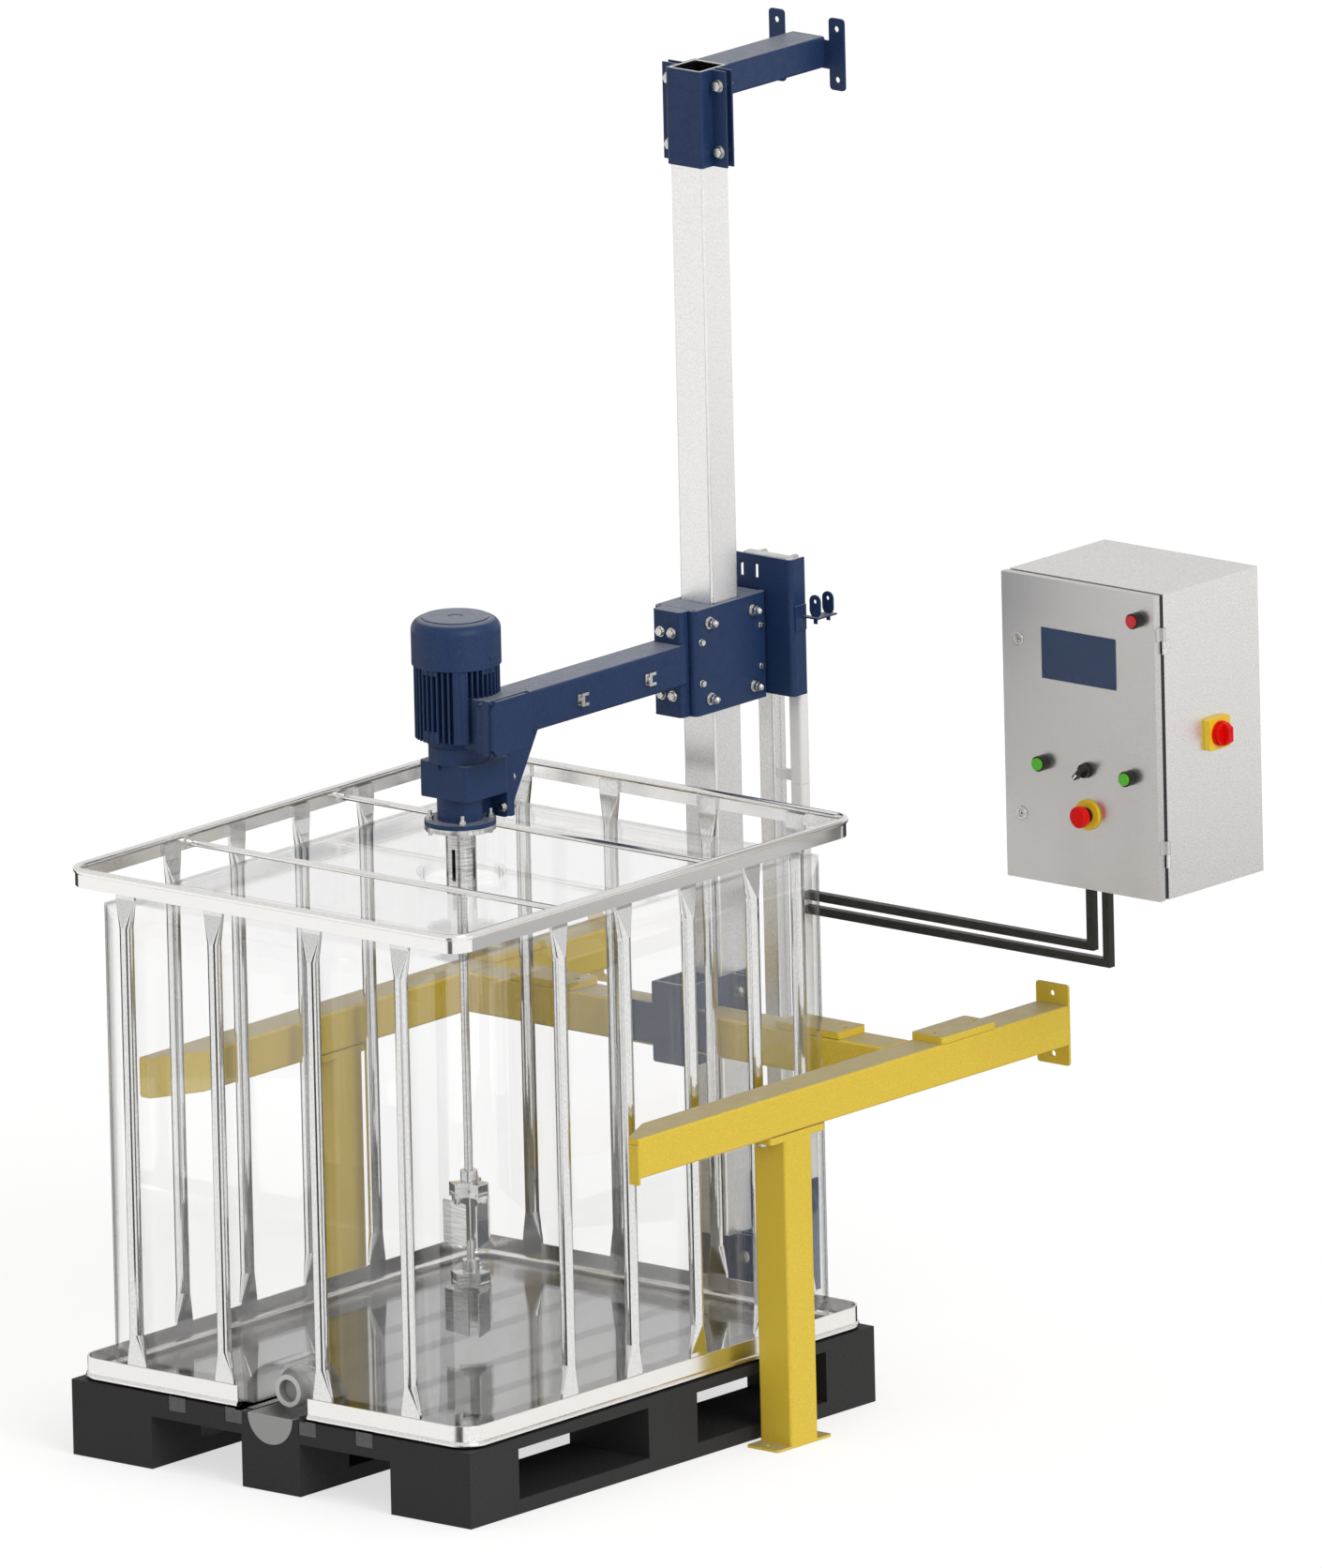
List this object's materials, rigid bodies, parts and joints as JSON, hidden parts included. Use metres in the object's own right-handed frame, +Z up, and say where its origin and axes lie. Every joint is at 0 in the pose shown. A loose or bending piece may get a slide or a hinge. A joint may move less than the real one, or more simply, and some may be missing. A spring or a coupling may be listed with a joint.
{
  "type": "tote mixing station",
  "caption": "Mixing station for a liquid tote: a gearmotor mixer with folding impellers on a lifting arm, a column, a guard frame that docks the tote, and a control cabinet.",
  "frame": {"origin": "on the floor under the mixer shaft, which is the middle of the tote's pallet", "axes": "+X to the right along the tote's valve face, +Y towards the wall, +Z up"},
  "size_m": [1.7423, 1.68, 2.578],
  "materials": {
    "blue_paint": "smooth enamel, semi-gloss",
    "yellow_paint": "smooth enamel, semi-gloss",
    "polished_steel": "polished stainless tube and sheet",
    "pallet_plastic": "moulded, fine grain",
    "bottle_plastic": "blow moulded, clear with a faint grey",
    "valve_plastic": "moulded grey",
    "column_steel": "bright steel with a fine grain",
    "stainless": "drawn and turned, satin",
    "zinc": "zinc plated",
    "cabinet_steel": "brushed stainless sheet, very fine grain",
    "panel_steel": "zinc plated sheet",
    "white_plastic": "extruded white",
    "black_plastic": "extruded black",
    "roller_plastic": "turned natural plastic",
    "yellow_plastic": "moulded yellow",
    "red_plastic": "moulded red",
    "green_plastic": "moulded green",
    "screen_face": "dark blue display behind a clear cover"
  },
  "bodies": {
    "root": {"pallet": "pallet_plastic", "tote_tray": "polished_steel", "cage_tubes": "polished_steel", "cage_top_rail": "polished_steel", "cage_cross_rods": "polished_steel", "tote_bottle": "bottle_plastic", "outlet_valve": "valve_plastic", "side_beams": "yellow_paint", "rear_beam": "yellow_paint", "guard_posts": "yellow_paint", "beam_plates": "yellow_paint", "column": "column_steel", "top_clamp": "blue_paint", "wall_bracket": "blue_paint", "beam_clamp": "blue_paint", "foot_clamp": "blue_paint", "frame_bolts": "zinc", "lift_cylinder": "stainless", "cable_duct": "white_plastic", "wiring_ducts": "black_plastic", "cabinet_body": "cabinet_steel", "mounting_panel": "panel_steel", "main_switch_plate": "yellow_plastic"},
    "main_switch": {"main_switch_knob": "red_plastic"},
    "lift": {"carriage_sides": "blue_paint", "carriage_front": "blue_paint", "rear_channel": "blue_paint", "roller_axles": "zinc", "arm": "blue_paint", "motor_bracket": "blue_paint", "gearbox": "blue_paint", "motor": "blue_paint", "fan_cowl": "blue_paint", "terminal_box": "blue_paint", "lantern": "stainless", "lift_bolts": "zinc", "piston_rod": "stainless"},
    "front_upper_roller": {"roller_front_upper": "roller_plastic"},
    "front_lower_roller": {"roller_front_lower": "roller_plastic"},
    "rear_upper_roller": {"roller_rear_upper": "roller_plastic"},
    "rear_lower_roller": {"roller_rear_lower": "roller_plastic"},
    "mixer": {"mixer_shaft": "stainless", "impeller_hubs": "stainless"},
    "upper_blade_1": {"blade_upper_1": "stainless"},
    "upper_blade_2": {"blade_upper_2": "stainless"},
    "upper_blade_3": {"blade_upper_3": "stainless"},
    "lower_blade_1": {"blade_lower_1": "stainless"},
    "lower_blade_2": {"blade_lower_2": "stainless"},
    "lower_blade_3": {"blade_lower_3": "stainless"},
    "cabinet_door": {"door": "cabinet_steel", "door_fittings": "black_plastic", "estop_collar": "yellow_plastic", "screen": "screen_face"},
    "red_push": {"red_button": "red_plastic"},
    "green_push_left": {"green_button_left": "green_plastic"},
    "green_push_right": {"green_button_right": "green_plastic"},
    "mode_selector": {"selector": "black_plastic"},
    "stop_mushroom": {"emergency_stop": "red_plastic"},
    "upper_lock": {"lock_upper": "zinc"},
    "lower_lock": {"lock_lower": "zinc"}
  },
  "joints": [
    {"name": "lift_travel", "type": "slide", "parent": "root", "child": "lift", "axis": [0, 0, 1], "range_m": [0, 0.84]},
    {"name": "front_upper_roller_turn", "type": "hinge", "parent": "lift", "child": "front_upper_roller", "pos_m": [0, 0.6847, 1.459], "axis": [1, 0, 0], "range_deg": [-1930, 5]},
    {"name": "front_lower_roller_turn", "type": "hinge", "parent": "lift", "child": "front_lower_roller", "pos_m": [0, 0.6847, 1.309], "axis": [1, 0, 0], "range_deg": [-1930, 5]},
    {"name": "rear_upper_roller_turn", "type": "hinge", "parent": "lift", "child": "rear_upper_roller", "pos_m": [0, 0.8153, 1.459], "axis": [1, 0, 0], "range_deg": [-5, 1930]},
    {"name": "rear_lower_roller_turn", "type": "hinge", "parent": "lift", "child": "rear_lower_roller", "pos_m": [0, 0.8153, 1.309], "axis": [1, 0, 0], "range_deg": [-5, 1930]},
    {"name": "mixer_turn", "type": "hinge", "parent": "lift", "child": "mixer", "pos_m": [0, 0, 1.1], "axis": [0, 0, 1], "continuous": true},
    {"name": "upper_blade_1_fold", "type": "hinge", "parent": "mixer", "child": "upper_blade_1", "pos_m": [0.03, 0, 0.466], "axis": [0, -1, 0], "range_deg": [0, 85]},
    {"name": "upper_blade_2_fold", "type": "hinge", "parent": "mixer", "child": "upper_blade_2", "pos_m": [-0.015, 0.02598, 0.466], "axis": [0.866, 0.5, 0], "range_deg": [0, 85]},
    {"name": "upper_blade_3_fold", "type": "hinge", "parent": "mixer", "child": "upper_blade_3", "pos_m": [-0.015, -0.02598, 0.466], "axis": [-0.866, 0.5, 0], "range_deg": [0, 85]},
    {"name": "lower_blade_1_fold", "type": "hinge", "parent": "mixer", "child": "lower_blade_1", "pos_m": [0.03, 0, 0.29], "axis": [0, -1, 0], "range_deg": [0, 85]},
    {"name": "lower_blade_2_fold", "type": "hinge", "parent": "mixer", "child": "lower_blade_2", "pos_m": [-0.015, 0.02598, 0.29], "axis": [0.866, 0.5, 0], "range_deg": [0, 85]},
    {"name": "lower_blade_3_fold", "type": "hinge", "parent": "mixer", "child": "lower_blade_3", "pos_m": [-0.015, -0.02598, 0.29], "axis": [-0.866, 0.5, 0], "range_deg": [0, 85]},
    {"name": "door_hinge", "type": "hinge", "parent": "root", "child": "cabinet_door", "pos_m": [1.1015, 0.792, 1.337], "axis": [0, 0, 1], "range_deg": [0, 110]},
    {"name": "red_push_press", "type": "slide", "parent": "cabinet_door", "child": "red_push", "axis": [0, 1, 0], "range_m": [0, 0.0035], "stiffness_N_per_m": 300},
    {"name": "green_push_left_press", "type": "slide", "parent": "cabinet_door", "child": "green_push_left", "axis": [0, 1, 0], "range_m": [0, 0.0035], "stiffness_N_per_m": 300},
    {"name": "green_push_right_press", "type": "slide", "parent": "cabinet_door", "child": "green_push_right", "axis": [0, 1, 0], "range_m": [0, 0.0035], "stiffness_N_per_m": 300},
    {"name": "stop_mushroom_press", "type": "slide", "parent": "cabinet_door", "child": "stop_mushroom", "axis": [0, 1, 0], "range_m": [0, 0.005], "stiffness_N_per_m": 400},
    {"name": "mode_selector_turn", "type": "hinge", "parent": "cabinet_door", "child": "mode_selector", "pos_m": [0.922, 0.77, 1.273], "axis": [0, -1, 0], "range_deg": [0, 90]},
    {"name": "upper_lock_turn", "type": "hinge", "parent": "cabinet_door", "child": "upper_lock", "pos_m": [0.757, 0.79, 1.509], "axis": [0, 1, 0], "range_deg": [0, 90]},
    {"name": "lower_lock_turn", "type": "hinge", "parent": "cabinet_door", "child": "lower_lock", "pos_m": [0.757, 0.79, 1.165], "axis": [0, 1, 0], "range_deg": [0, 90]},
    {"name": "main_switch_turn", "type": "hinge", "parent": "root", "child": "main_switch", "pos_m": [1.1093, 0.944, 1.337], "axis": [1, 0, 0], "range_deg": [0, 90]}
  ],
  "couplings": [
    {"joint": "front_upper_roller_turn", "follows": "lift_travel", "rad_per_m": -40},
    {"joint": "front_lower_roller_turn", "follows": "lift_travel", "rad_per_m": -40},
    {"joint": "rear_upper_roller_turn", "follows": "lift_travel", "rad_per_m": 40},
    {"joint": "rear_lower_roller_turn", "follows": "lift_travel", "rad_per_m": 40}
  ]
}
